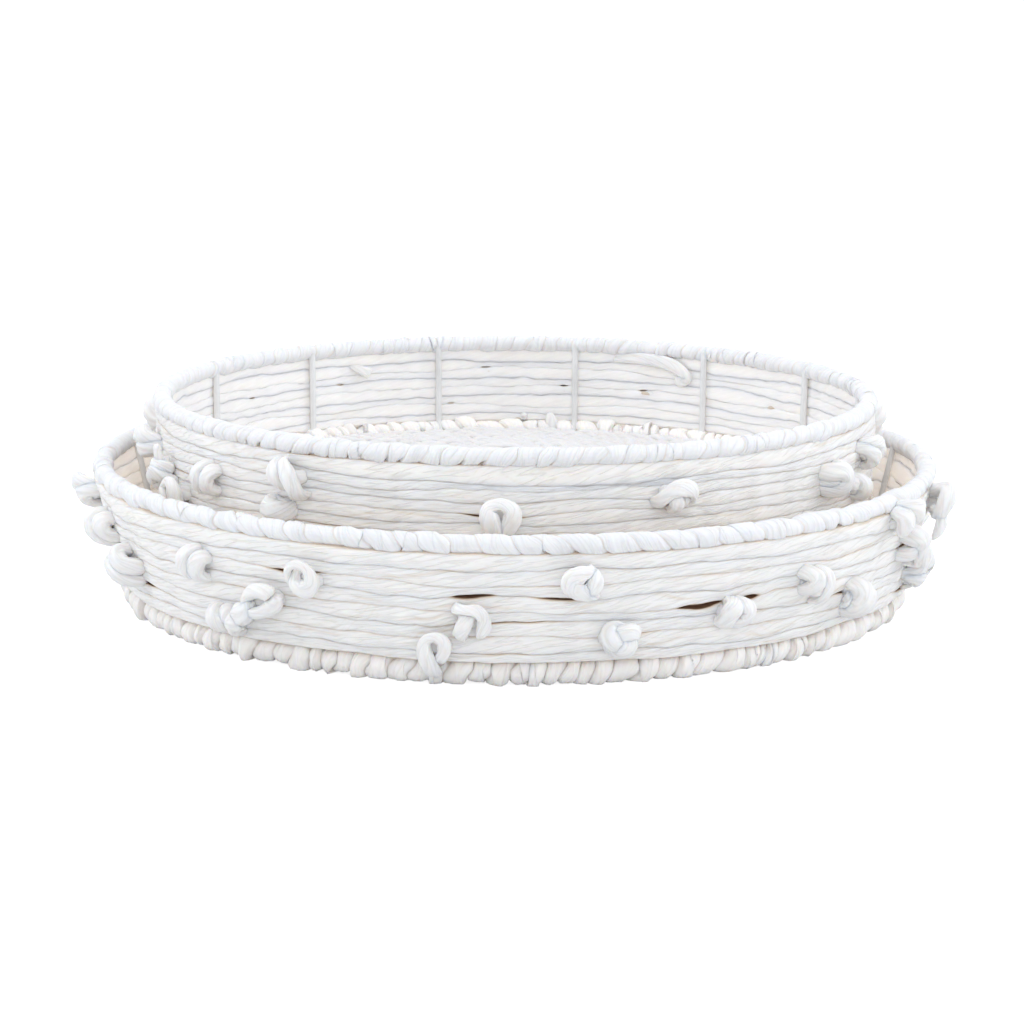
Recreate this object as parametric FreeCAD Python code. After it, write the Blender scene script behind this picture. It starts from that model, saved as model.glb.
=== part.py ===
"""Two nesting round trays, each a white wire frame wound with twisted paper cord.

Frame: millimetres, +Z up.  The origin is on the shared vertical axis of the two trays, at the
underside of the large one.  -Y is the front.  The small tray stands inside the large one, held
up where its lowest knots bear on the sloping inner wall, and it lifts straight out along +Z.

Angles are in degrees, anticlockwise from +X when seen from above.
"""
import FreeCAD, Part
import math
import os

STAKE_COUNT = 14
ROW_COUNT = 8
WIRE_RADIUS = 1.6
WELD_DEPTH = 0.3
STAKE_BEND_RADIUS = 8.0
CLEARANCE = 0.1

FLOOR_CREST = 3.2
FLOOR_GROOVE = 2.2
FLOOR_ROUND_PITCH = 9.0
HUB_RADIUS = 22.0

KNOT_RING_RADIUS = 5.4
KNOT_CORD_RADIUS = 3.5
KNOT_STEM_RADIUS = 2.9
KNOT_TURN = 45.0
KNOT_PRESS = 0.8

# Knots as (angle, height above the large tray's underside), from the front left round to the back.
LARGE_KNOTS = [
    (-171, 53.5), (-160, 43.0), (-150.5, 30.5), (-133, 43.0), (-130, 22.5), (-121.5, 31.0), (-116, 46.0),
    (-99.5, 18.5), (-95, 32.0), (-82, 49.5), (-77, 23.5), (-62.5, 32.0), (-50, 39.0), (-41, 24.0),
    (-32, 58.0), (-25.5, 40.5), (-20, 25.0), (-16, 54.0), (8, 30.0), (22, 47.0), (35, 22.5), (47, 52.0),
    (58, 36.0), (71, 21.0), (84, 44.5), (97, 28.0), (110, 51.0), (123, 35.0), (137, 22.0), (149, 46.0),
    (162, 30.5), (174, 22.0),
]
SMALL_KNOTS = [
    (-165, 79.5), (-156.5, 70.0), (-151, 62.0), (-141, 74.0), (-126, 66.5), (-123, 82.5), (-92, 72.0),
    (-67, 79.0), (-35, 74.0), (-25.5, 65.5), (-22, 80.5), (9, 80.0), (22, 63.0), (38, 72.0), (58, 82.0),
    (66, 70.5), (81, 69.5), (95.5, 79.5), (102, 64.0), (124, 78.0), (144, 78.0), (160, 68.0), (172, 80.0),
]
# The small tray stands on these: each reaches out to a stake of the large tray.
BEARING_ANGLES = [-141.43, -90.0, -38.57, 38.57, 90.0, 141.43]
BEARING_HEIGHT = 54.0
BEARING_GAP = 0.35

UP = FreeCAD.Vector(0, 0, 1)
ORIGIN = FreeCAD.Vector(0, 0, 0)


class Tray:
    """The driving sizes of one tray, and the lines that its pieces follow."""

    def __init__(self, name, base, rim_radius, rim_height, rim_wrap, foot_radius, foot_wrap, foot_axis,
                 cord_radius, first_stake, knots):
        self.name = name
        self.base = base
        self.rim_radius = rim_radius
        self.rim_height = rim_height
        self.rim_wrap = rim_wrap
        self.foot_radius = foot_radius
        self.foot_wrap = foot_wrap
        self.foot_height = base + foot_axis
        self.cord_radius = cord_radius
        self.first_stake = first_stake
        self.knots = knots
        self.find_stake_line()

    def find_stake_line(self):
        """A stake runs out along the floor, bends up against the base ring and leans out to the rim."""
        weld = 2 * WIRE_RADIUS - WELD_DEPTH
        reach = math.sqrt((STAKE_BEND_RADIUS + weld) ** 2 - STAKE_BEND_RADIUS ** 2)
        self.bend_centre = (self.foot_radius - reach, self.foot_height + STAKE_BEND_RADIUS)
        self.stake_top = (self.rim_radius - weld, self.rim_height)
        across = self.stake_top[0] - self.bend_centre[0]
        along = self.stake_top[1] - self.bend_centre[1]
        straight = math.sqrt(across ** 2 + along ** 2 - STAKE_BEND_RADIUS ** 2)
        self.lean = math.atan2(across, along) - math.atan2(STAKE_BEND_RADIUS, straight)
        self.outward = (math.cos(self.lean), -math.sin(self.lean))
        self.upward = (math.sin(self.lean), math.cos(self.lean))
        self.bend_end = tuple(c + STAKE_BEND_RADIUS * o for c, o in zip(self.bend_centre, self.outward))

    def stake_radius_at(self, height):
        """Radius of the stakes' centre line at a height on their straight part."""
        return self.bend_end[0] + (height - self.bend_end[1]) * math.tan(self.lean)

    def stake_angles(self):
        return [self.first_stake + 360.0 * k / STAKE_COUNT for k in range(STAKE_COUNT)]

    def rows(self):
        """(radius, height) of the centre of each wall cord, from the rim down."""
        offset = WIRE_RADIUS + self.cord_radius + CLEARANCE
        rim = self.along_stake((self.rim_radius, self.rim_height))
        foot = self.along_stake((self.foot_radius, self.foot_height))
        top = rim[0] - beside(self.rim_wrap + self.cord_radius + CLEARANCE, offset - rim[1])
        bottom = foot[0] + beside(self.foot_wrap + self.cord_radius + CLEARANCE, offset - foot[1])
        step = (top - bottom) / (ROW_COUNT - 1)
        if step < 2 * self.cord_radius + CLEARANCE:
            raise ValueError(f"{self.name}: the wall cords are too thick to lie {step:.2f} mm apart")
        places = []
        for row in range(ROW_COUNT):
            along = top - row * step
            places.append(tuple(self.bend_end[i] + along * self.upward[i] + offset * self.outward[i]
                                for i in range(2)))
        return places

    def along_stake(self, point):
        """(distance up the stake from the bend's end, distance outward from it) of a point."""
        off = (point[0] - self.bend_end[0], point[1] - self.bend_end[1])
        return (off[0] * self.upward[0] + off[1] * self.upward[1],
                off[0] * self.outward[0] + off[1] * self.outward[1])

    def wall_surface(self, height):
        """Radius of the wall cords' outermost surface at a height."""
        offset = WIRE_RADIUS + 2 * self.cord_radius + CLEARANCE
        return self.stake_radius_at(height) + offset / math.cos(self.lean)


def beside(distance, offset):
    """How far apart two cords lie along a line when they are offset across it."""
    return math.sqrt(distance ** 2 - offset ** 2)


def ring(radius, height, cord_radius):
    """A closed ring of round cord or wire."""
    return Part.makeTorus(radius, cord_radius, FreeCAD.Vector(0, 0, height), UP)


def turned(shape, angle):
    copy = shape.copy()
    copy.rotate(ORIGIN, UP, angle)
    return copy


def all_round(shape, angles):
    return [turned(shape, angle) for angle in angles]


def at(point):
    """A point of the radial half-plane, (radius, height), as a vector in the XZ plane."""
    return FreeCAD.Vector(point[0], 0, point[1])


def stake(tray):
    """One wall stake along +X: the bend at the floor's edge and the straight part up to the rim."""
    start = (tray.bend_centre[0], tray.foot_height)
    half = math.radians(-90) + (math.radians(90) - tray.lean) / 2
    middle = (tray.bend_centre[0] + STAKE_BEND_RADIUS * math.cos(half),
              tray.bend_centre[1] + STAKE_BEND_RADIUS * math.sin(half))
    bend = Part.Arc(at(start), at(middle), at(tray.bend_end)).toShape()
    straight = Part.LineSegment(at(tray.bend_end), at(tray.stake_top)).toShape()
    section = Part.Wire(Part.makeCircle(WIRE_RADIUS, at(start), FreeCAD.Vector(1, 0, 0)))
    return Part.Wire([bend, straight]).makePipeShell([section], True, True)


def spoke(tray):
    """One floor spoke along +X, from the hub ring out to the foot of a stake."""
    length = tray.bend_centre[0] - HUB_RADIUS
    start = FreeCAD.Vector(HUB_RADIUS, 0, tray.foot_height)
    return Part.makeCylinder(WIRE_RADIUS, length, start, FreeCAD.Vector(1, 0, 0))


def floor_rounds(tray):
    """The floor's rounds of cord as one disc, crested over each round, above and below."""
    edge = tray.foot_radius - tray.foot_wrap - CLEARANCE
    count = round(edge / FLOOR_ROUND_PITCH)
    pitch = edge / count
    edges = []
    for side in (1, -1):
        for k in range(count):
            low = tray.foot_height + side * FLOOR_GROOVE
            high = tray.foot_height + side * FLOOR_CREST
            ends = [at((k * pitch, low)), at(((k + 0.5) * pitch, high)), at(((k + 1) * pitch, low))]
            edges.append(Part.Arc(*ends).toShape())
    top, bottom = tray.foot_height + FLOOR_GROOVE, tray.foot_height - FLOOR_GROOVE
    edges.append(Part.LineSegment(at((edge, top)), at((edge, bottom))).toShape())
    edges.append(Part.LineSegment(at((0, bottom)), at((0, top))).toShape())
    outline = Part.Wire(Part.__sortEdges__(edges))
    return Part.Face(outline).revolve(ORIGIN, UP, 360)


def knot(tray, angle, height, lean_side, reach_radius=None):
    """One overhand knot: a turn of cord standing edge-on to the wall, and the strand that feeds it."""
    turn = math.radians(lean_side * KNOT_TURN)
    depth = KNOT_RING_RADIUS * abs(math.sin(turn)) + KNOT_CORD_RADIUS
    wall = tray.wall_surface(height)
    if reach_radius is None:
        centre = wall + depth - KNOT_PRESS
    else:
        centre = reach_radius - depth
    axis = FreeCAD.Vector(math.cos(turn), math.sin(turn), 0)
    loop = Part.makeTorus(KNOT_RING_RADIUS, KNOT_CORD_RADIUS, at((centre, height)), axis)
    stem_start = at((wall - KNOT_PRESS, height))
    stem_length = centre - wall + KNOT_PRESS
    stem = Part.makeCylinder(KNOT_STEM_RADIUS, stem_length, stem_start, FreeCAD.Vector(1, 0, 0))
    tip = Part.makeSphere(KNOT_STEM_RADIUS, at((centre, height)))
    return turned(loop.fuse([stem, tip]), angle)


def knots_of(tray, large):
    """Every knot of a tray, with the height that it is tied at."""
    made = []
    for index, (angle, height) in enumerate(tray.knots):
        side = 1 if index % 2 else -1
        made.append((height, knot(tray, angle, height, side)))
    if tray is not large:
        inner_face = large.stake_radius_at(BEARING_HEIGHT - KNOT_CORD_RADIUS) - WIRE_RADIUS - BEARING_GAP
        for angle in BEARING_ANGLES:
            made.append((BEARING_HEIGHT, knot(tray, angle, BEARING_HEIGHT, 1, inner_face)))
    return made


def pieces_of(tray, large):
    """Every separate piece of one tray, by name."""
    rim_wire = ring(tray.rim_radius, tray.rim_height, WIRE_RADIUS)
    base_wire = ring(tray.foot_radius, tray.foot_height, WIRE_RADIUS)
    hub_wire = ring(HUB_RADIUS, tray.foot_height, WIRE_RADIUS)
    stakes = [bar.cut([rim_wire, base_wire]) for bar in all_round(stake(tray), tray.stake_angles())]
    spokes = [bar.cut(hub_wire) for bar in all_round(spoke(tray), tray.stake_angles())]

    rim_tube = ring(tray.rim_radius, tray.rim_height, tray.rim_wrap)
    foot_tube = ring(tray.foot_radius, tray.foot_height, tray.foot_wrap)
    below = Part.makeCylinder(tray.rim_radius, tray.foot_wrap, FreeCAD.Vector(0, 0, tray.base), -UP)
    foot_tube = foot_tube.cut(below)
    cords = [ring(radius, height, tray.cord_radius) for radius, height in tray.rows()]

    pieces = {
        "rim_wire": rim_wire,
        "base_wire": base_wire,
        "hub_wire": hub_wire,
        "wall_stakes": Part.makeCompound(stakes),
        "floor_spokes": Part.makeCompound(spokes),
        "rim_wrap": rim_tube.cut([rim_wire] + stakes),
        "foot_wrap": foot_tube.cut([base_wire] + stakes),
        "floor_weave": floor_rounds(tray).cut([hub_wire] + spokes + stakes),
    }
    for number, cord in enumerate(cords, start=1):
        pieces[f"wall_cord_{number}"] = cord

    tubes = cords + [rim_tube, foot_tube]
    wall = tray.rim_height - tray.base
    bands = {"lower": [], "middle": [], "upper": []}
    for height, shape in knots_of(tray, large):
        level = (height - tray.base) / wall
        band = "lower" if level < 0.45 else "middle" if level < 0.68 else "upper"
        bands[band].append(shape.cut(tubes))
    for band, shapes in bands.items():
        pieces[f"knots_{band}"] = Part.makeCompound(shapes)
    return {f"{tray.name}_{piece}": shape for piece, shape in pieces.items()}


large_tray = Tray("large", base=0.0, rim_radius=198.5, rim_height=63.9, rim_wrap=4.3, foot_radius=183.8,
                  foot_wrap=6.4, foot_axis=6.1, cord_radius=2.95, first_stake=90.0, knots=LARGE_KNOTS)
small_tray = Tray("small", base=43.0, rim_radius=170.0, rim_height=95.6, rim_wrap=4.3, foot_radius=166.0,
                  foot_wrap=5.6, foot_axis=5.3, cord_radius=2.3, first_stake=78.8, knots=SMALL_KNOTS)

os.makedirs("parts", exist_ok=True)
for tray in (large_tray, small_tray):
    for node, shape in pieces_of(tray, large_tray).items():
        if not shape.isValid() or not shape.Solids:
            raise ValueError(f"{node} isn't a valid solid")
        shape.exportStep(f"parts/{node}.step")
        box = shape.BoundBox
        print(f"{node:24s} solids {len(shape.Solids):3d}  volume {shape.Volume:9.0f}"
              f"  z {box.ZMin:6.2f} {box.ZMax:6.2f}")
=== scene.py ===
import math

import bpy
import numpy as np
from mathutils import Matrix, Vector


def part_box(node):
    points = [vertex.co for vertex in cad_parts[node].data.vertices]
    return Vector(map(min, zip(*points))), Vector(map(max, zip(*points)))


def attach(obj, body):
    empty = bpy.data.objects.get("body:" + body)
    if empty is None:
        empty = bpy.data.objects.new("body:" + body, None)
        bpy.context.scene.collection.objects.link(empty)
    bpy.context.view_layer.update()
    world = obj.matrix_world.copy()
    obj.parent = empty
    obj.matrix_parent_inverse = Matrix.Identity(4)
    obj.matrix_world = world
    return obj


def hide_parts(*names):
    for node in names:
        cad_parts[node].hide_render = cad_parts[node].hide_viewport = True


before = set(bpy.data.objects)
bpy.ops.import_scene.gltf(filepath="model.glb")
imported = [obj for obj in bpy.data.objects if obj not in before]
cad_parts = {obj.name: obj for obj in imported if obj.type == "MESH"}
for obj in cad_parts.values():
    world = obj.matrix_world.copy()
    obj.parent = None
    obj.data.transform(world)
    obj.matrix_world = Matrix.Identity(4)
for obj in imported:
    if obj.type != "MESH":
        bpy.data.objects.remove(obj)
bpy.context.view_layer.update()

# Sizes below are in millimetres. Angles are in degrees, anticlockwise from +X seen from above.
MM = 0.001
TURN = 2 * math.pi
ROWS = 8
BANDS = ("lower", "middle", "upper")

# How each tray's cord is laid: the turns of its rim and foot and which way they lean, how far a rim
# turn stands out, and the seed of the ripples.
LAID = {
    "large": dict(rim_turns=104, rim_hand=-1, rim_depth=0.9, foot_turns=138, foot_hand=1, seed=11),
    "small": dict(rim_turns=117, rim_hand=1, rim_depth=0.7, foot_turns=126, foot_hand=-1, seed=47),
}

# Where two rows are parted: (row below the opening, angle, half length along the wall, opening).
# Rows count down from the rim, from nought.
PARTED = {
    "large": [
        (3, -95, 11, 2.5), (5, -92, 40, 0.7), (4, -66, 13, 3.3), (4, -59, 6.5, 2.4),
        (2, -118, 16, 1.8), (5, -124, 14, 2.2), (3, -84, 15, 1.2), (6, -76, 18, 0.6),
        (5, -40, 15, 2.0), (3, -25, 14, 2.2), (6, -150, 14, 2.0), (4, -160, 12, 2.0),
        (7, -20, 13, 1.8),
    ],
    "small": [
        (4, -93, 18, 1.2), (6, -118, 30, 0.4), (3, -66, 14, 1.2), (5, -34, 13, 1.8),
        (2, -125, 14, 1.4), (4, -152, 13, 0.5),
    ],
}
# Where one row spreads over the next: (row spread over, angle, half length along the wall, growth).
SPREAD = {
    "large": [(7, -90, 120, 0.9), (4, -70, 60, 0.5), (1, -120, 60, 0.5)],
    "small": [(1, -82, 110, 2.6), (1, 60, 50, 1.2), (2, 150, 60, 1.0)],
}

# A row's section: powers of the sine and cosine for its edges, outer face and inner face.
# Less is squarer.
ROW_SIDE, ROW_FACE, ROW_BACK = 0.75, 0.27, 0.2

# Knots by where they are tied:
# (angle, height, shape, roll in degrees, mirrored, size, shift along the wall and up).
KNOT_LOOKS = {
    "large": [
        (-171, 53, "ball", 20, 0, 0.88, 0, 0), (-160, 43, "roll", 15, 0, 0.88, 0, 0),
        (-150, 30, "tube", 60, 0, 0.95, -7, 0), (-133, 43, "tube", -12, 0, 0.8, 0, 0),
        (-130, 22, "roll", 20, 0, 0.68, -2.5, -2.5), (-121, 31, "chain", 2, 0, 0.95, -3.5, 0),
        (-116, 46, "ring", 0, 0, 0.9, 0, 0), (-99, 18, "hook", 4, 0, 0.88, 0, 0),
        (-95, 32, "square", 0, 0, 0.86, -0.5, -0.5), (-82, 49, "fold", 0, 0, 0.92, 0, -0.5),
        (-77, 23, "pretzel", 0, 0, 1.05, 0, 0), (-62, 32, "bun", -8, 0, 0.83, 2.2, -1.8),
        (-50, 39, "strap", -4, 0, 0.86, 1.2, -1.2), (-41, 24, "roll", -6, 0, 0.88, 5, 1),
        (-32, 58, "bun", 40, 1, 0.9, 0, 0), (-25, 40, "bone", 0, 0, 0.92, 0, 0),
        (-20, 25, "fold", 60, 1, 0.9, 0, 0), (-16, 54, "frayed", 10, 1, 0.9, 0, 0),
    ],
    "small": [
        (-165, 79, "ball", 0, 0, 0.88, 0, 0), (-156, 70, "tailed", 100, 0, 0.82, 0, 0),
        (-151, 62, "arch", 10, 0, 0.88, 0, 0), (-141, 74, "tube", -4, 0, 0.75, 1, 0),
        (-126, 66, "roll", 80, 1, 0.78, 0, 0), (-123, 82, "strap", 14, 0, 0.95, 0, 0),
        (-92, 72, "arch", 0, 0, 0.95, 0, -1.0), (-67, 79, "cap", 0, 0, 0.92, 0, 0),
        (-35, 74, "tailed", -6, 0, 0.9, 0, 0), (-25, 65, "roll", 0, 0, 0.62, 0, 0),
        (-22, 80, "ball", -30, 1, 0.8, 0, 0),
    ],
}
# Loose ends inside a wall: (angle, height, thickness for its breadth, path as in SHAPES).
# The path's third number is negative, for inward.
INSIDE_ENDS = {
    "large": [],
    "small": [
        (61, 86, 0.34, [
            (38, 1.0, -4.2, 1.4), (32, 3.0, -6.2, 2.4), (20, 4.2, -7.0, 3.2), (8, 4.0, -7.2, 3.4),
            (-3, 2.4, -7.4, 3.4), (-10, -0.8, -7.6, 3.4), (-13, -4.4, -7.4, 3.2),
            (-9.5, -6.4, -7.0, 2.8), (-5, -5.2, -5.4, 1.6)]),
        (83, 52, 0.4, [
            (-2.4, -6.5, -8.6, 2.6), (-1.6, -2.4, -9.0, 3.8), (0.4, 2.2, -8.0, 3.4),
            (2.0, 6.2, -6.6, 1.6)]),
        (120, 84, 0.4, [
            (6, 2.4, -4.0, 1.0), (2.5, 1.2, -6.4, 1.8), (-2, -0.6, -7.4, 2.8),
            (-6, -2.6, -6.6, 3.2)]),
    ],
}
# The shapes and the seeds of the knots that the photograph doesn't show.
OTHER_KNOTS = ["fold", "pretzel", "arch", "tube", "ball", "square", "bun", "ring"]
KNOT_SEEDS = {"large": 900, "small": 1000}


# ---------------------------------------------------------------- the frame's own sizes

def ring_of(node):
    """(ring radius, height, cord radius) of a ring-shaped node."""
    low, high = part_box(node)
    thick = (high.z - low.z) / 2
    return (high.x - thick) / MM, (high.z + low.z) / 2 / MM, thick / MM


def islands(node):
    """Centre and outermost radius of each separate solid in a node."""
    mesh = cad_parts[node].data
    points = np.empty(len(mesh.vertices) * 3)
    mesh.vertices.foreach_get("co", points)
    points = points.reshape(-1, 3) / MM
    edges = np.empty(len(mesh.edges) * 2, int)
    mesh.edges.foreach_get("vertices", edges)
    spots, merged = np.unique(np.round(points, 2), axis=0, return_inverse=True)
    edges = merged.ravel()[edges].reshape(-1, 2)
    label = np.arange(len(spots))
    while True:
        low = np.minimum(label[edges[:, 0]], label[edges[:, 1]])
        before = label.copy()
        np.minimum.at(label, edges[:, 0], low)
        np.minimum.at(label, edges[:, 1], low)
        label = label[label]
        if (label == before).all():
            break
    found = []
    for one in np.unique(label):
        part = spots[label == one]
        middle = (part.min(0) + part.max(0)) / 2
        found.append((middle, np.hypot(part[:, 0], part[:, 1]).max()))
    return found


def islands_of(tray):
    """Every knot of a tray, in order round it."""
    found = [spot for band in BANDS for spot in islands(f"{tray}_knots_{band}")]

    def place(spot):
        (x, y, z), _ = spot
        return round(math.atan2(y, x), 3), z

    return sorted(found, key=place)


# ---------------------------------------------------------------- noise and meshes

def waves(angles, seed, radius, shortest, longest, count=26):
    """A seeded ripple that closes round a ring: mean nought, about one high."""
    rng = np.random.default_rng(seed)
    lengths = np.exp(rng.uniform(math.log(shortest), math.log(longest), count))
    cycles = np.maximum(1, np.round(TURN * radius / lengths))
    total = sum(np.cos(c * angles + p) for c, p in zip(cycles, rng.uniform(0, TURN, count)))
    return total / math.sqrt(count / 2)


def pleats(phase, sharpness=0.6):
    """Rounded ridges with sharp valleys between them: 0 in a valley, 1 on a ridge."""
    return np.abs(np.sin(phase / 2)) ** sharpness


def power(values, exponent):
    """Values to a power, keeping their signs."""
    return np.sign(values) * np.abs(values) ** exponent


def near(values, middle, width):
    """A smooth bump: one at the middle, and nearly nought two widths away."""
    return np.exp(-((values - middle) / width) ** 2)


def gap_between(angles, angle, radius):
    """Distance along a ring from an angle in degrees, in millimetres, the short way round."""
    away = (angles - math.radians(angle) + math.pi) % TURN - math.pi
    return away * radius


def unit(vectors):
    return vectors / np.maximum(np.linalg.norm(vectors, axis=-1, keepdims=True), 1e-9)


# Each point carries a number for the shade painted on its paper. These are its values on a wall's
# inner side, which is smooth and glows, where the painted shade starts, where it is as warm as in a
# fold, and deep in an opening, where it is darkest.
INNER, SHADE_STARTS, FOLD_SHADE, INMOST = -0.8, 0.1, 1.1, 2.0


class Piece:
    """One shown piece, gathered from sheets of four-sided faces."""

    def __init__(self):
        self.points, self.faces, self.coords, self.shade_and_glow = [], [], [], []
        self.count = 0

    def add(self, grid, along, across, shade_and_glow, closed=(True, True), shift=0):
        """Adds a sheet of n by m points.

        along and across are the (n+1, m+1) lengths that the cord's texture goes by. A sheet that is
        closed round its second way may join the first way shift columns further on, as a spiral
        does.
        """
        n, m = grid.shape[:2]
        rows = np.arange(n if closed[0] else n - 1)
        columns = np.arange(m if closed[1] else m - 1)
        i, j = (part.ravel() for part in np.meshgrid(rows, columns, indexing="ij"))
        corners = [(i, j), (i + 1, j), (i + 1, j + 1), (i, j + 1)]
        index = [((a + shift * (b // m)) % n) * m + b % m for a, b in corners]
        coords = [np.stack([along[a, b], across[a, b]], 1) for a, b in corners]
        self.faces.append(np.stack(index, 1) + self.count)
        self.coords.append(np.stack(coords, 1).reshape(-1, 2))
        self.points.append(grid.reshape(-1, 3))
        self.shade_and_glow.append(np.broadcast_to(shade_and_glow, (n, m)).ravel())
        self.count += n * m

    def build(self, name, material, body, nodes):
        """Makes the object, which rides on a body and stands for nodes of the frame."""
        points = np.concatenate(self.points) * MM
        faces = np.concatenate(self.faces)
        mesh = bpy.data.meshes.new(name)
        mesh.vertices.add(len(points))
        mesh.vertices.foreach_set("co", points.ravel())
        mesh.loops.add(faces.size)
        mesh.polygons.add(len(faces))
        mesh.polygons.foreach_set("loop_start", np.arange(0, faces.size, 4))
        mesh.polygons.foreach_set("vertices", faces.ravel())
        mesh.update(calc_edges=True)
        laid = mesh.uv_layers.new(name="laid")
        laid.data.foreach_set("uv", (np.concatenate(self.coords) * MM).ravel())
        shade_and_glow = mesh.attributes.new("shade_and_glow", "FLOAT", "POINT")
        shade_and_glow.data.foreach_set("value", np.concatenate(self.shade_and_glow))
        mesh.shade_smooth()
        mesh.materials.append(material)
        obj = bpy.data.objects.new(name, mesh)
        bpy.context.scene.collection.objects.link(obj)
        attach(obj, body)
        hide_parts(*nodes)


# ---------------------------------------------------------------- rows of cord round the wall

class Wall:
    """The sloping face that a tray's rows lie on, and each row's edges all the way round."""

    def __init__(self, tray):
        self.tray = tray
        top, bottom = ring_of(f"{tray}_wall_cord_1"), ring_of(f"{tray}_wall_cord_{ROWS}")
        self.cord = top[2]
        self.base = np.array(bottom[:2])
        slope = np.array(top[:2]) - self.base
        self.length = np.linalg.norm(slope)
        self.up = slope / self.length
        self.out = np.array([self.up[1], -self.up[0]])
        self.pitch = self.length / (ROWS - 1)

    def surface(self, height):
        """Radius of the wall's outermost face at a height."""
        along = (height - self.base[1]) / self.up[1]
        return self.base[0] + along * self.up[0] + self.cord / self.up[1]

    def edges(self, angles):
        """How far up the slope the rows' edges lie, from the top row's upper edge down."""
        seed, radius = LAID[self.tray]["seed"], self.base[0]
        # The outermost edges are steadier and a little higher: into the rim, and off the foot.
        raised = {0: 0.9, ROWS: 1.3}
        edges = []
        for k in range(ROWS + 1):
            level = self.length + self.pitch * (0.5 - k)
            loose = 0.35 if k in raised else 1.0
            slow = waves(angles, seed + 3 * k, radius, 60, 420) * 0.13 * self.pitch
            quick = waves(angles, seed + 3 * k + 1, radius, 14, 45) * 0.03 * self.pitch
            edges.append(level + loose * (slow + quick) + raised.get(k, 0))
        for row, angle, half, growth in SPREAD[self.tray]:
            away = gap_between(angles, angle, radius)
            edges[row] = edges[row] - growth * near(away, 0, half)
        return edges

    def openings(self, angles):
        """How far the rows above and below each edge stand apart."""
        opened = [np.zeros_like(angles) for _ in range(ROWS + 1)]
        for row, angle, half, opening in PARTED[self.tray] + self.parted_at_knots():
            away = gap_between(angles, angle, self.base[0])
            opened[row] += opening * np.clip(1 - (away / half) ** 2, 0, None) ** 1.5
        return opened

    def parted_at_knots(self):
        """The rows also part where the cord goes out to each knot round the back."""
        parted = []
        for middle, _ in islands_of(self.tray):
            angle = math.degrees(math.atan2(middle[1], middle[0]))
            along = (middle[2] - self.base[1]) / self.up[1]
            row = round((self.length - along) / self.pitch + 0.5)
            if 0 < angle < 180 and 1 <= row < ROWS:
                # The holes differ a little in length from knot to knot.
                half = 3.5 + (0.03 * angle) % 1.5
                parted.append((row, angle, half, 0.3 * self.pitch))
        return parted

    def beside(self, angle, height, along, rise, out):
        """Points near the wall's outer face: along it and up from a place on it, and out of it."""
        heading = math.radians(angle)
        outward = np.array([math.cos(heading), math.sin(heading), 0])
        onward = np.array([-math.sin(heading), math.cos(heading), 0])
        upward = np.array([0, 0, 1.0])
        radius = self.surface(height) + out + self.up[0] / self.up[1] * rise
        flat = along[..., None] * onward + radius[..., None] * outward
        return flat + (height + rise)[..., None] * upward

    def place(self, angles, up, out):
        """Points at distances up the slope and out of it, given as (n, m) arrays."""
        radius = self.base[0] + up * self.up[0] + out * self.out[0]
        height = self.base[1] + up * self.up[1] + out * self.out[1]
        return np.stack([radius * np.cos(angles), radius * np.sin(angles), height], -1)


def row_face(section):
    """How far out of the wall a row's section reaches, as a share of its thickness."""
    squareness = np.where(np.cos(section) > 0, ROW_FACE, ROW_BACK)
    return power(np.cos(section), squareness)


def row_section(breadth, thick, count):
    """Angles of evenly spaced points round a flat-faced cord, and the length round it."""
    fine = np.linspace(0, TURN, 4001)
    line = np.stack([breadth * power(np.sin(fine), ROW_SIDE), thick * row_face(fine)], 1)
    run = np.concatenate([[0], np.cumsum(np.linalg.norm(np.diff(line, axis=0), axis=1))])
    return np.interp(np.arange(count) / count * run[-1], run, fine), run[-1]


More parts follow.
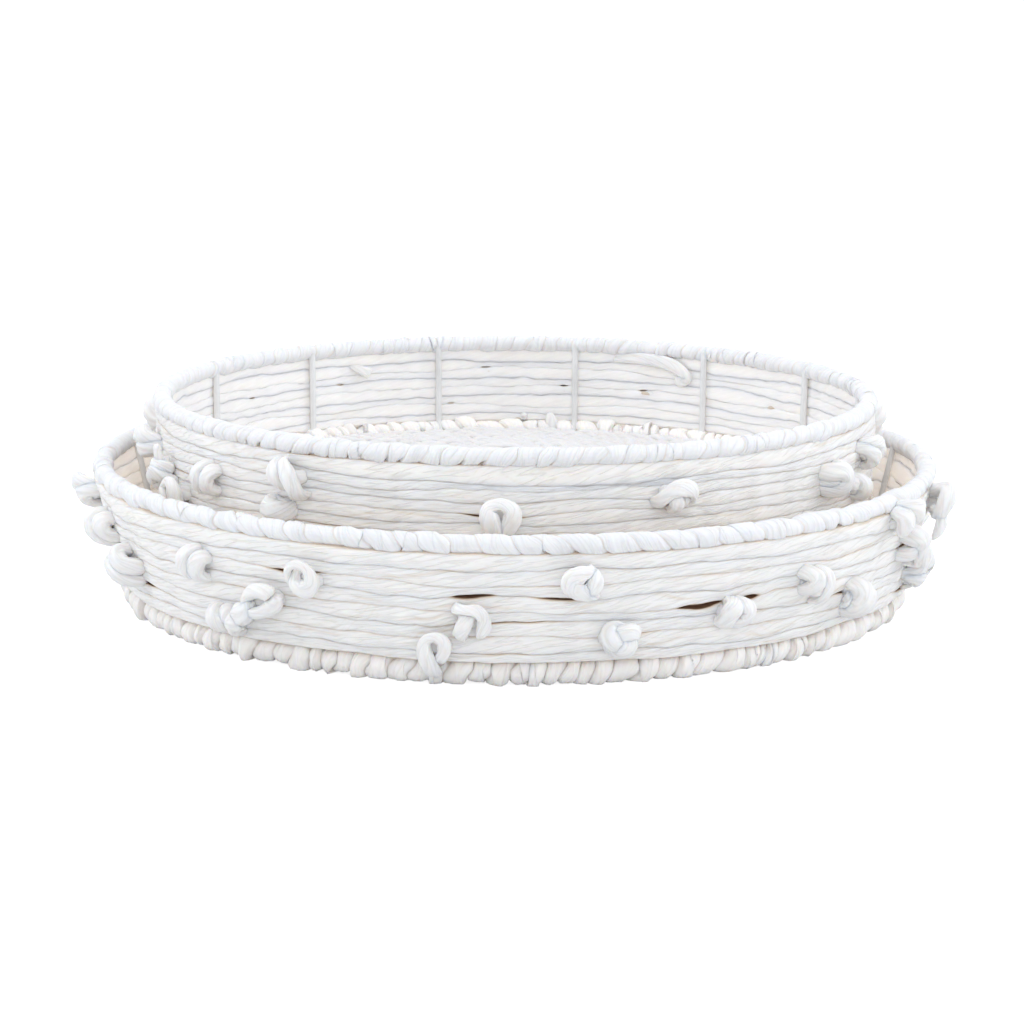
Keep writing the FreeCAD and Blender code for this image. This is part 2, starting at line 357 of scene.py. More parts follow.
def wall_rows(wall, material):
    """Eight rows of twisted paper cord.

    Each is a ring with creases that run round it slowly, as the twist does.
    """
    seed, radius = LAID[wall.tray]["seed"] + 200, wall.base[0]
    # Points along a row and round it.
    n, m = 1380, 36
    angles = np.arange(n) * TURN / n
    edges, opened = wall.edges(angles), wall.openings(angles)
    section, girth = row_section(wall.pitch / 2, wall.cord, m)
    phase = np.arange(m)[None, :] * TURN / m
    side, face = power(np.sin(section), ROW_SIDE), row_face(section)
    length = np.linspace(0, TURN * radius, n + 1)[:, None]
    around = np.linspace(0, girth, m + 1)[None, :]
    sheets = []

    def vary(number, short, long):
        return waves(angles, seed + number, radius, short, long)[:, None]

    for k in range(ROWS):
        high = edges[k] - opened[k] / 2
        low = edges[k + 1] + opened[k + 1] / 2
        middle = (high + low)[:, None] / 2
        # A parted row keeps over half its height, and rows overlap a little.
        half = np.maximum((high - low) / 2, 0.28 * wall.pitch)[:, None] * 1.08
        thick = wall.cord * (1.0 + 0.06 * vary(k, 30, 200))
        off = 0.2 * vary(20 + k, 40, 260) + 0.1 * vary(40 + k, 9, 25)

        # The cord's twist carries its broad and fine creases and a split round it, lap by lap.
        laps = round(radius / (17.0 + 3.5 * (k * 3 % 5)))
        turn = phase - laps * angles[:, None] + 0.9 * vary(60 + k, 25, 140)
        slow = phase - round(laps / 2.6) * angles[:, None] + 0.5 * vary(120 + k, 60, 300) + k
        depth = 0.55 + 0.45 * np.clip(vary(80 + k, 25, 120), -1, 1)
        broad = pleats(7 * turn + 1.1 * np.sin(2 * turn + k), 0.5)
        fine = pleats(12 * turn + 2 * vary(100 + k, 20, 90), 0.7)
        shown = np.clip(0.5 + 0.9 * vary(140 + k, 30, 160), 0, 1)
        split = near(np.sin(slow), 0, 0.16) * shown
        relief = 0.058 * (broad - 0.8) * depth + 0.026 * (fine - 0.75) - 0.095 * split

        shape = 1 + relief * np.where(face > 0, 1, 0.4)
        up = middle + half * side * np.where(face > 0, 1 + 0.4 * (shape - 1), 1.15)
        grid = wall.place(angles[:, None], up, off + thick * face * shape)
        # Painted shade: deep brown where an opening parts the rows, warm in the pleats' valleys,
        # the split and the row's edges on the outer face, and warm along the edges on the inner
        # face.
        parted = np.where(side > 0, opened[k][:, None], opened[k + 1][:, None])
        opening_shade = 1.1 * np.clip(parted / 1.2, 0, 1) * np.abs(side) ** 8
        edge = np.abs(side) ** 10
        outer = np.clip(0.4 * (1 - broad) * depth + 0.45 * split + 0.95 * edge, 0, 1)
        shade_and_glow = np.where(face > 0, outer, 1.7 * edge + INNER) + opening_shade
        sheets.append((grid, length + 0 * around, around - 0.18 * length, shade_and_glow))

    for number, name in enumerate(("top", "upper", "lower", "bottom")):
        piece = Piece()
        members = (2 * number, 2 * number + 1)
        for k in members:
            piece.add(*sheets[k])
        nodes = [f"{wall.tray}_wall_cord_{k + 1}" for k in members]
        piece_name = f"{wall.tray}_wall_{name}_rows"
        piece.build(piece_name, material, f"{wall.tray}_tray", nodes)


# ---------------------------------------------------------------- cord wound round a ring

def spacing(turns, seed, spread):
    """A table from turn number to share of the ring, for uneven turns that close round it."""
    rng = np.random.default_rng(seed)
    widths = np.clip(1 + spread * rng.standard_normal(turns), 0.62, 1.7)
    fine = np.arange(turns * 16 + 1) / 16
    width = np.interp(fine, np.arange(turns + 1) + 0.5, np.append(widths, widths[0]), period=turns)
    total = np.concatenate([[0], np.cumsum((width[1:] + width[:-1]) / 2)])
    return fine, total / total[-1]


def winding(piece, ring, turns, hand, columns, around, spread, bend, seed, relief, floor_at=None):
    """A cord wound round and round a ring, starting at the front.

    columns and around are the points across each turn and round it. relief(x, lap, side) gives its
    radius from the ring: x is how far across the cord, lap how far along it in turns, and side the
    angle round the ring's section, nought outward and up from there. spread is how uneven the
    turns' widths are, and bend is how far each turn's edges stray from a true spiral, in turns.
    Nothing goes below the height floor_at.
    """
    radius, height = ring
    i = np.arange(turns * columns)[:, None]
    j = np.arange(around)[None, :]
    place = i / columns + j / around
    fine, share = spacing(turns, seed, spread)
    angle = TURN * (np.interp(place % turns, fine, share) + place // turns) + math.radians(-90)
    x = (i % columns) / columns + 0 * j
    lap = i // columns + j / around
    side = hand * TURN * j / around + 0 * i
    round_it = place * TURN / turns
    slack = turns / TURN
    stray = np.sin(side + 2.4 * waves(round_it, seed + 31, slack, 1.3, 6))
    stray += 0.4 * np.sin(2 * side + 2.4 * waves(round_it, seed + 32, slack, 1.3, 6))
    angle += bend * stray * TURN / turns
    reach = relief(x, lap, side)
    out = radius + reach * np.cos(side)
    level = height + reach * np.sin(side)
    if floor_at is not None:
        level = np.maximum(level, floor_at)
    grid = np.stack([out * np.cos(angle), out * np.sin(angle), level], -1)

    i = np.arange(turns * columns + 1)[:, None]
    j = np.arange(around + 1)[None, :]
    girth = TURN * float(np.mean(reach))
    along = (i // columns + j / around) * girth
    across = (i % columns) / columns * (TURN * radius / turns) + 0 * j
    # Painted shade along each turn's edges, where it meets the next turn.
    shade_and_glow = np.clip(0.5 - 9 * np.minimum(x, 1 - x), 0, 1)
    piece.add(grid, along, across, shade_and_glow, shift=columns)


def from_middle(x, middle):
    """How far x is from the middle: nought there, and one at nought and at one."""
    return np.where(x < middle, 1 - x / middle, (x - middle) / (1 - middle))


def rim(wall, material):
    """Flat paper ribbon wound round the rim's wire, each turn a pillow with creases along it."""
    tray, laid = wall.tray, LAID[wall.tray]
    radius, height, _ = ring_of(f"{tray}_rim_wire")
    reach = ring_of(f"{tray}_rim_wrap")[2]
    turns, seed, hand = laid["rim_turns"], laid["seed"] + 400, laid["rim_hand"]

    def relief(x, lap, side):
        lap_angle = lap * TURN / turns

        def vary(number, short=1.2, long=7):
            return waves(lap_angle, seed + number, turns / TURN, short, long)

        pillow = 1 - from_middle(x, 0.5 + 0.06 * vary(1)) ** 5
        tall = laid["rim_depth"] * (1 + 0.35 * vary(2))
        tilt = 0.6 * vary(3, 1.5, 5) * (x - 0.5)
        creased = 0.6 + 0.4 * np.clip(vary(5), -1, 1)
        folds = 0.3 * (pleats(TURN * 4.0 * x + 1.6 * vary(4)) - 0.8) * creased
        lines = 0.14 * (pleats(TURN * 9.5 * x + 2.5 * vary(6, 0.8, 4)) - 0.8)
        below = near(np.cos(side - math.radians(-62)), 1, 0.25)
        at_edge = np.clip(1 - np.minimum(x, 1 - x) * 5, 0, 1)
        notch = 2.2 * np.clip(vary(7, 2, 9) - 0.5, 0, 1.2) * below * at_edge
        return reach - 0.55 + tall * (pillow - 0.2) + (tilt + folds + lines) * pillow ** 0.5 - notch

    piece = Piece()
    winding(piece, (radius, height), turns, hand, columns=24, around=35, spread=0.2, bend=0.1,
            seed=seed, relief=relief)
    name, nodes = f"{tray}_rim_winding", [f"{tray}_rim_wrap"]
    piece.build(name, material, f"{tray}_tray", nodes)


def foot(wall, material):
    """Fat cord wound round the base ring: a row of rounded, uneven beads."""
    tray, laid = wall.tray, LAID[wall.tray]
    radius, height, _ = ring_of(f"{tray}_base_wire")
    low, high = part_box(f"{tray}_foot_wrap")
    reach = high.x / MM - radius
    turns, seed, hand = laid["foot_turns"], laid["seed"] + 500, laid["foot_hand"]

    def relief(x, lap, side):
        lap_angle = lap * TURN / turns

        def vary(number, short=1.1, long=6):
            return waves(lap_angle, seed + number, turns / TURN, short, long)

        bead = np.sqrt(np.clip(1 - from_middle(x, 0.5 + 0.07 * vary(1)) ** 2.5, 0, 1))
        tall = 3.2 + 0.7 * vary(2)
        folds = 0.34 * (pleats(TURN * 3.5 * x + 1.5 * vary(3)) - 0.8)
        lines = 0.12 * (pleats(TURN * 8 * x + 2.5 * vary(4, 0.8, 3)) - 0.8)
        return reach - 2.8 + tall * bead + (folds + lines) * bead + 0.3 * vary(5, 1.1, 3)

    piece = Piece()
    winding(piece, (radius, height), turns, hand, columns=18, around=32, spread=0.42, bend=0.12,
            seed=seed, relief=relief, floor_at=low.z / MM)
    name, nodes = f"{tray}_foot_winding", [f"{tray}_foot_wrap"]
    piece.build(name, material, f"{tray}_tray", nodes)


# ---------------------------------------------------------------- floor

def floor(wall, material):
    """Rounds of two-ply cord, one inside the other. A ply crosses the top every half twist."""
    tray = wall.tray
    low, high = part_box(f"{tray}_floor_weave")
    edge, level = high.x / MM, (high.z + low.z) / 2 / MM
    thick = (high.z - low.z) / 2 / MM
    count = round(edge / 8.6)
    pitch = edge / count
    seed = LAID[tray]["seed"] + 600
    m = 12
    section = np.arange(m) * TURN / m
    # Each ply's radius and its distance from the cord's middle, as shares of the cord's radius.
    ply, apart = 0.64, 0.42
    piece = Piece()
    for number in range(count):
        radius = (number + 0.5) * pitch
        n = max(24, int(TURN * radius / 1.5))
        angles = np.arange(n) * TURN / n

        def vary(offset, short, long):
            return waves(angles, seed + offset + number, radius, short, long)

        twists = max(2, round(TURN * radius / 19.0))
        turn = twists * angles + 0.8 * vary(0, 30, 200) + number * 2.4
        spin = section[None, :] + turn[:, None]
        plies = np.sqrt(np.maximum(ply ** 2 - (apart * np.sin(spin)) ** 2, 0.002))
        outline = (apart * np.abs(np.cos(spin)) + plies) * (1 + 0.05 * vary(50, 8, 40)[:, None])
        ripple = 0.25 * vary(100, 20, 120)[:, None]
        out = radius + 0.53 * pitch * outline * np.cos(section)
        lift = thick * (0.35 + 0.65 * outline) * np.sin(section) + ripple
        x, y = out * np.cos(angles)[:, None], out * np.sin(angles)[:, None]
        along = np.linspace(0, TURN * radius, n + 1)[:, None] + 0 * np.zeros(m + 1)
        round_it = np.linspace(0, 26, m + 1)[None, :] + 0.9 * along
        # Painted shade in the crevice where the two plies meet.
        shade_and_glow = 0.5 * np.clip((1 - np.abs(np.cos(spin))) * 1.2 - 0.5, 0, 1)
        piece.add(np.stack([x, y, level + lift], -1), along, round_it, shade_and_glow)
    name, nodes = f"{tray}_floor_rounds", [f"{tray}_floor_weave"]
    piece.build(name, material, f"{tray}_tray", nodes)


# ---------------------------------------------------------------- knots

# The cord in each knot, strand by strand: how thick it is for its breadth, and its path. A point of
# a path is (along the wall, up, out of it, half the cord's breadth).
UNDER = (0.7, [(-7, 0, -4, 2.2), (-3, 0, 2.4, 3.9), (3, 0, 2.4, 3.9), (7, 0, -4, 2.2)])
CHAIN_LOOP = [(8.4 * math.cos(t) - 2.0 * math.sin(t) + 0.5,
               3.4 * math.cos(t) + 4.6 * math.sin(t) + 1.4,
               7.2 + 1.2 * math.sin(2 * t), 3.1 + 0.7 * math.cos(t))
              for t in np.linspace(0, TURN, 13)]
PRETZEL_LOOP = [(1.72 * (math.sin(t) + 2 * math.sin(2 * t)),
                 1.5 * (math.cos(t) - 2 * math.cos(2 * t)) - 0.6,
                 5.2 - 2.4 * math.sin(3 * t), 4.1)
                for t in np.linspace(0, TURN, 25)]
SHAPES = {
    "arch": [
        (0.64, [(-2.0, -9.5, -3, 2.6), (-1.4, -8.2, 4.4, 3.2), (-2.9, -4.0, 8.2, 4.2),
                (-4.5, 0.6, 9.2, 4.5), (-4.6, 4.8, 8.8, 3.4), (0.2, 6.8, 8.4, 2.9),
                (5.0, 4.6, 8.4, 3.3), (5.6, 0.2, 7.8, 4.0), (3.7, -4.4, 6.4, 4.2),
                (2.6, -8.4, 3.0, 3.1), (2.4, -9.5, -3, 2.6)]),
        UNDER,
    ],
    "hook": [
        (0.7, [(-2.6, -13, -2, 3.4), (-3.0, -12.5, 4, 4.2), (-3.9, -7, 7.8, 4.4),
               (-5.0, -0.5, 8.8, 3.9), (-3.6, 4.8, 8.8, 2.8), (0.6, 6.6, 8.6, 2.4),
               (4.4, 4.2, 8.4, 2.9), (4.6, -0.8, 8.0, 3.4), (2.0, -5.2, 6.6, 3.1),
               (0.6, -7.6, 1, 2.6)]),
        UNDER,
    ],
    "square": [
        (0.6, [(-8.4, 5.4, -3, 3.0), (-6.6, 6.2, 5.0, 3.0), (-2.0, 6.6, 8.6, 2.9),
               (3.2, 6.3, 9.0, 3.0), (6.4, 3.0, 8.8, 3.2), (6.7, -1.6, 8.0, 3.6),
               (5.5, -6.4, 6.4, 3.4), (4.8, -8.6, -1, 2.8)]),
        (0.7, [(-5.8, -9.2, -3, 3.2), (-5.5, -7.6, 4.8, 3.9), (-3.7, -3.0, 8.0, 4.0),
               (-1.8, 1.0, 7.6, 3.8), (-0.4, 4, 1, 3.2)]),
        UNDER,
    ],
    "fold": [
        (0.75, [(8.4, -8.4, -2, 1.8), (6.0, -7.2, 4.0, 2.4), (1.2, -5.0, 7.2, 4.0),
                (-3.4, -1.8, 8.6, 5.2), (-4.4, 2.0, 8.8, 5.2), (-1.4, 4.8, 8.6, 4.2),
                (3.4, 5.4, 6.4, 3.0), (5, 5, -2, 2.5)]),
        (0.8, [(4.6, 5.0, 0, 2.8), (5.0, 3.2, 6.8, 3.7), (5.0, -0.8, 7.8, 4.0),
               (4.4, -4.4, 5.8, 3.4), (4, -6, -2, 2.4)]),
        UNDER,
    ],
    "ball": [
        (0.8, [(-8.4, -3.6, -3, 3.2), (-6.8, -1.6, 4.6, 4.5), (-3.6, 2.4, 8.4, 5.0),
               (1.6, 4.5, 8.8, 4.6), (5.8, 2.8, 7.0, 4.0), (8, 0, -1, 3)]),
        (0.9, [(-6, -1, -3, 3.4), (-2.5, -0.5, 3.6, 4.8), (3, -0.5, 3.6, 4.8), (6, -1, -3, 3.4)]),
        (0.8, [(8.8, -1.6, -3, 3), (7.2, -1.8, 4.8, 4.0), (3.2, -3.3, 8.2, 4.5),
               (-2.0, -5.2, 7.2, 4.2), (-5.6, -6.4, 3, 3.4), (-6, -7, -3, 3)]),
    ],
    "bun": [
        (0.75, [(-3.0, -7, -3, 3.8), (-4.6, -5.0, 5.0, 4.9), (-5.2, 0.4, 8.6, 5.4),
                (-3.6, 4.4, 7.4, 4.6), (-1.4, 6, -1, 3.4)]),
        (0.75, [(0.6, 6.6, -1, 3.2), (3.6, 5.0, 6.8, 4.2), (6.2, 1.0, 8.2, 4.6),
                (4.8, -3.4, 7.0, 4.2), (1.0, -5.6, 5.2, 3.4), (-1.4, -6.6, -2, 2.8)]),
        UNDER,
    ],
    "cap": [
        (0.55, [(-9.4, -4.6, -3, 2.6), (-8.6, -2.4, 5.0, 3.4), (-5.0, 2.0, 8.6, 3.8),
                (0.6, 3.6, 9.2, 3.8), (6.0, 2.2, 8.4, 3.6), (8.8, -1.6, 5.4, 3.0),
                (9.4, -4.0, -3, 2.4)]),
        (0.8, [(-2.2, 1.0, 2.0, 3.2), (-1.8, -1.6, 7.2, 3.4), (-1.0, -5.4, 6.6, 3.4),
               (-0.6, -8.4, -1, 2.6)]),
        (0.8, [(3.6, 1.0, 1.0, 2.8), (4.0, -2.2, 5.4, 3.0), (3.4, -5.2, 3.4, 2.6),
               (3.0, -6.4, -2, 2.2)]),
        UNDER,
    ],
    "pretzel": [
        (0.85, PRETZEL_LOOP),
        (0.8, [(-7, -1, -4, 2.4), (-3, -1, 2.8, 4.2), (3, -1, 2.8, 4.2), (7, -1, -4, 2.4)]),
    ],
    "ring": [
        (0.85, [(-5.6, -6.6, -3, 2.4), (-6.6, -3.6, 5.0, 2.4), (-7.3, 1.2, 7.0, 2.0),
                (-4.9, 5.4, 8.0, 1.9), (0.0, 6.9, 8.2, 2.1), (4.9, 4.3, 8.2, 2.8),
                (6.2, -1.4, 8.4, 4.2), (2.2, -5.0, 8.4, 4.7), (-2.6, -3.4, 7.8, 3.8),
                (-4.4, 0.2, 5.0, 2.6), (-4.6, 1.6, 0, 2.2)]),
        (0.8, [(7, -2, -4, 2.0), (4, -2, 2.0, 3.2), (0, -2, 2.2, 3.4), (-4, -2, -3, 3.0)]),
    ],
    "roll": [
        (0.8, [(-2.4, 6.4, -3, 4.6), (-2.2, 6.0, 4.4, 5.4), (-1.6, 2.8, 8.6, 6.2),
               (-1.2, -2.0, 9.0, 6.4), (-1.6, -5.6, 5.6, 5.6), (-2, -6.4, -2, 4.6)]),
        (0.8, [(8.6, 3.6, -3, 3.2), (8.0, 3.4, 4.2, 4.2), (7.4, -0.6, 6.8, 4.6),
               (6.6, -4.6, 4.2, 4.0), (6, -6, -3, 3.2)]),
        (0.9, [(-2.4, 5, -3, 3.6), (-2.6, 3, 2.8, 4.6), (-2.6, -3, 2.8, 4.6),
               (-2.4, -5, -3, 3.6)]),
    ],
    "tube": [
        (0.8, [(-3.6, 7.6, -3, 3.6), (-3.6, 7.4, 4.2, 4.4), (-3.6, 4.2, 9.0, 4.8),
               (-3.8, -1.6, 9.4, 4.8), (-4.2, -6.0, 6.0, 4.3), (-4.4, -8, -3, 3.4)]),
        (0.8, [(4.4, 5.4, -3, 3.4), (4.2, 5.6, 4.4, 4.3), (3.6, 1.8, 7.8, 4.6),
               (3.4, -3.6, 7.0, 4.5), (4.2, -6.6, 2.6, 3.8), (4.4, -7, -3, 3)]),
    ],
    "strap": [
        (0.8, [(-7.4, 6.0, -3, 3.2), (-6.8, 5.8, 4.6, 4.0), (-4.8, 3.4, 8.0, 4.6),
               (-4.4, -0.8, 7.4, 4.2), (-4.8, -3.4, 2, 3.4), (-5, -4, -3, 3)]),
        (0.5, [(-1.4, 9.2, 2, 1.6), (0.8, 7.2, 8.2, 2.6), (3.4, 2.0, 10.0, 3.9),
               (4.5, -3.8, 9.6, 4.1), (4.3, -8.8, 6.6, 3.5), (3.8, -10.6, -1, 2.6)]),
        (0.7, [(-7, -1, -4, 2.0), (-2, -1, 2.4, 3.8), (2, -1, 2.4, 3.8), (6, -1, -4, 2.0)]),
    ],
    "chain": [
        (0.85, CHAIN_LOOP),
        (0.8, [(-5, -1, 0, 3.2), (-7.0, -3.2, 7.2, 4.4), (-10.4, -6.0, 8.0, 4.8),
               (-13.2, -8.6, 5.4, 4.2), (-14, -10, -1, 3.2)]),
        (0.8, [(-11, -6, 0, 3.0), (-13.6, -9.2, 6.4, 4.2), (-17.0, -11.6, 6.8, 4.3),
               (-19.6, -14.6, 3.8, 3.8), (-19, -16, -3, 3)]),
        (0.7, [(9, 3, -3, 3.2), (3, 2, 2.4, 3.8), (-3, -1, 2.4, 3.8), (-8, -4, -3, 3.2)]),
    ],
    "bone": [
        (0.8, [(-8, 7.4, -3, 3.6), (-7.4, 7.0, 4.6, 4.6), (-4.4, 4.4, 9.0, 5.2),
               (-1.8, 0.0, 9.4, 4.2), (1.6, -3.6, 9.4, 4.4), (5.2, -6.6, 9.6, 5.2),
               (7.8, -8.6, 5.6, 4.6), (8, -9, -3, 3.4)]),
        (0.8, [(5.6, 3.6, -3, 3.4), (3.4, 3.4, 5.0, 4.2), (-0.6, 0.8, 5.8, 4.2),
               (-5.2, -2.8, 5.4, 4.2), (-7, -4, -3, 3.2)]),
    ],
    "frayed": [
        (0.8, [(-8, 4, -3, 3.4), (-6.4, 5.2, 4.4, 4.3), (-1.4, 6.2, 9.0, 4.8),
               (4.2, 3.0, 9.6, 5.0), (4.4, -2.8, 8.4, 4.8), (-1.4, -4.4, 6.6, 4.4),
               (-6, -3.4, 3.2, 3.8), (-7, -3, -3, 3)]),
        (0.5, [(1, -1, 2, 3.6), (3.8, -4.6, 8.4, 4.2), (4.6, -9.5, 9.8, 4.4),
               (4.2, -14.8, 9.4, 4.0), (3.4, -19.0, 8.4, 3.2)]),
    ],
    "tailed": [
        (0.8, [(-8.6, 2.4, -3, 3.4), (-8.2, 3.6, 4.6, 4.4), (-4.6, 4.2, 8.8, 4.9),
               (-1.0, 0.4, 9.4, 4.6), (-2.4, -4.4, 7.6, 4.3), (-6, -5.4, 2, 3.6),
               (-6, -5, -3, 3)]),
        (0.8, [(4, 5.4, -3, 3.4), (3.4, 5.4, 4.8, 4.2), (3.2, 1.0, 8.0, 4.4),
               (2.0, -4.6, 6.6, 4.2), (0, -6, 0, 3.2)]),
        (0.6, [(2, -1, 3, 3.4), (7.2, -2.6, 7.0, 3.4), (12.2, -3.2, 8.0, 3.0),
               (15.4, -3.4, 7.8, 2.2)]),
        (0.9, [(-8, -0.6, -3, 3.0), (-5.4, -0.6, 4.2, 4.2), (-2, -0.4, 5.0, 4.2),
               (2, 0, -2, 3.0)]),
    ],
}
# Strands that end loose, by shape and number.
LOOSE_STRANDS = {("frayed", 1), ("tailed", 2)}
# The cord of a knot where it passes between two rows, in the wall's own thickness.
THROUGH_WALL = [
    (-5, -0.4, -2.6, 1.0), (-2, 0.2, -3.0, 1.5), (2, -0.2, -3.0, 1.5), (5, 0.4, -2.6, 1.0),
]
# How far apart a strand's points are along it.
STRAND_STEP = 0.75


def smooth_path(points, steps):
    """A Catmull-Rom curve through the points, evenly stepped."""
    points = np.array(points, float)
    looped = np.allclose(points[0], points[-1])
    before = points[-2] if looped else 2 * points[0] - points[1]
    after = points[1] if looped else 2 * points[-1] - points[-2]
    held = np.vstack([before, points, after])
    places = np.linspace(0, len(points) - 1, steps)
    k = np.minimum(places.astype(int), len(points) - 2)
    t = (places - k)[:, None]
    a, b, c, d = held[k], held[k + 1], held[k + 2], held[k + 3]
    straight = 2 * b + (c - a) * t
    squared = (2 * a - 5 * b + 4 * c - d) * t ** 2
    cubed = (3 * b - a - 3 * c + d) * t ** 3
    return 0.5 * (straight + squared + cubed)


def strand(piece, path, flat, centre, to_world, seed, rough_end=False, added_shade=0.0):
    """A flattened cord along a path, its broad side turned away from the centre."""
    rng = np.random.default_rng(seed)
    runs = np.linalg.norm(np.diff(np.array(path)[:, :3], axis=0), axis=1)
    steps = max(20, int(runs.sum() / STRAND_STEP))
    line = smooth_path(path, steps)
    points, half = line[:, :3], line[:, 3]
    tangent = unit(np.gradient(points, axis=0))
    away = points - centre
    away = unit(away - (away * tangent).sum(1, keepdims=True) * tangent)
    side = np.cross(tangent, away)

    m = 24
    section = np.arange(m) * TURN / m
    run = np.linspace(0, 1, steps)[:, None]
    cycles, phases = rng.uniform(0.6, 3.2, 5), rng.uniform(0, TURN, 5)
    lumps = sum(np.sin(run * TURN * f + p) for f, p in zip(cycles, phases)) / 5
    turn = section[None, :] + 1.5 * run + 0.5 * lumps
    broad = pleats(6 * turn + rng.uniform(0, TURN))
    fine = pleats(14 * turn + 3 * lumps)
    shape = 1 + 0.13 * (broad - 0.75) + 0.06 * (fine - 0.75)
    breadth = half[:, None] * (1 + 0.16 * lumps)
    depth = breadth * flat * (1 - 0.15 * lumps)
    if rough_end:
        ragged = rng.uniform(0.5, 1.0, m)[None, :]
        torn = np.clip((run - 0.8) / 0.2, 0, 1)
        shape = shape * (1 - 0.55 * torn * (1 - ragged))
        depth = depth * (1 - 0.6 * torn)

    ends = np.clip(np.minimum(run, 1 - run) * steps / 1.5, 0.02, 1)
    width = breadth * power(np.cos(section), 0.75) * shape * ends
    lift = depth * power(np.sin(section), 0.75) * shape * ends
    grid = points[:, None] + width[..., None] * side[:, None] + lift[..., None] * away[:, None]
    along = np.linspace(0, steps * STRAND_STEP, steps)[:, None] + np.zeros((1, m + 1))
    across = np.linspace(0, TURN * 3.2, m + 1)[None, :] + 0.25 * along
    # Painted shade in the valleys of the pleats, plus any shade added for a strand that should look
    # deep in shade.
    shade_and_glow = np.clip((1 - broad) * 0.35 + added_shade, 0, 1)
    piece.add(to_world(grid), along, across, shade_and_glow, closed=(False, True))


def knot_look(tray, angle, height, number):
    """A knot's shape, roll, mirroring, size and shifts: as in the photograph, or else by chance."""
    for at, level, *look in KNOT_LOOKS[tray]:
        if abs(at - angle) < 2.2 and abs(level - height) < 5:
            return look
    rng = np.random.default_rng(KNOT_SEEDS[tray] + number)
    kind = OTHER_KNOTS[rng.integers(len(OTHER_KNOTS))]
    return kind, rng.uniform(-35, 35), rng.integers(2), rng.uniform(0.84, 0.95), 0, 0


def unturned(wall, angle, height):
    """What puts a path's points on the wall as they are, at a place on it."""
    return lambda local: wall.beside(angle, height, local[..., 0], local[..., 1], local[..., 2])


def turned(wall, angle, height, look, stretch):
    """What puts a knot's points on the wall, with the knot's own roll, size and shifts."""
    roll, mirrored, size, along, up = look
    turn, flip = math.radians(roll), -1 if mirrored else 1

    def to_world(local):
        across, rise = local[..., 0] * flip * size, local[..., 1] * size
        x = along + across * math.cos(turn) - rise * math.sin(turn)
        z = up + across * math.sin(turn) + rise * math.cos(turn)
        return wall.beside(angle, height, x, z, (local[..., 2] - 0.4) * size * stretch)

    return to_world


def knots(wall, material):
    """The overhand knots, one where each of the frame's own knots is, and the ends inside."""
    tray = wall.tray
    piece = Piece()
    # A strand's broad side turns away from the wall's core, or on an inside end from outside.
    core, outside = np.array([0, -0.5, -4.0]), np.array([0, 0, 40.0])
    for number, (middle, reach) in enumerate(islands_of(tray)):
        angle, height = math.degrees(math.atan2(middle[1], middle[0])), middle[2]
        kind, *look = knot_look(tray, angle, height, number)
        stretch = np.clip((reach - wall.surface(height)) / 13.0, 0.8, 1.45)
        to_world = turned(wall, angle, height, look, stretch)
        for part, (flat, path) in enumerate(SHAPES[kind]):
            seed, loose = 1000 + 10 * number + part, (kind, part) in LOOSE_STRANDS
            strand(piece, path, flat, core, to_world, seed, rough_end=loose)
        if 0 < angle < 180:
            # The cord inside the wall, seen through the gap between rows, gets deep painted shade.
            to_world = unturned(wall, angle, height)
            strand(piece, THROUGH_WALL, 0.8, core, to_world, 3000 + number, added_shade=1.5)
    for number, (angle, height, flat, path) in enumerate(INSIDE_ENDS[tray]):
        strand(piece, path, flat, outside, unturned(wall, angle, height), 2000 + number)
    nodes = [f"{tray}_knots_{band}" for band in BANDS]
    piece.build(f"{tray}_knots", material, f"{tray}_tray", nodes)


# ---------------------------------------------------------------- materials

# The paper's colour where the least shade is painted: WHITE in the walls and foot, COOL in the
# knots, SHADED in the floor, RIBBON round the rims. Painted shade takes folds, creases and the
# grooves between rows and turns to a warm brown, and openings between rows to a deep brown.
WHITE, COOL, SHADED = (0.94, 0.905, 0.87), (0.875, 0.868, 0.857), (0.80, 0.785, 0.78)
RIBBON, WARM_SHADE, DEEP_SHADE = (0.83, 0.828, 0.832), (0.80, 0.66, 0.52), (0.22, 0.12, 0.07)
LIT_THROUGH = (1.0, 0.87, 0.74)


def set_sockets(tree, node, sockets):
    """Sets each socket of a node to a value, or links it from another node's output."""
    for name, value in sockets.items():
        if isinstance(value, bpy.types.NodeSocket):
            tree.links.new(value, node.inputs[name])
        else:
            node.inputs[name].default_value = value


def add_node(tree, kind, sockets=None, **settings):
    """A new shader node with its settings and sockets set."""
    node = tree.nodes.new(f"ShaderNode{kind}")
    for name, value in settings.items():
        setattr(node, name, value)
    set_sockets(tree, node, sockets or {})
    return node


def maths(tree, operation, *terms):
    """The result of one operation on values or other nodes' outputs."""
    return add_node(tree, "Math", dict(enumerate(terms)), operation=operation).outputs[0]


def ranged(tree, value, low, high, to_low=0.0, to_high=1.0):
    """A value taken from the range low to high to another range, and held inside that."""
    limits = {"From Min": low, "From Max": high, "To Min": to_low, "To Max": to_high}
    return add_node(tree, "MapRange", {"Value": value, **limits}).outputs["Result"]


def blended(tree, factor, a, b):
    """A colour between two others."""
    sockets = {"Factor": factor, "A": a, "B": b}
    return add_node(tree, "Mix", sockets, data_type="RGBA").outputs["Result"]


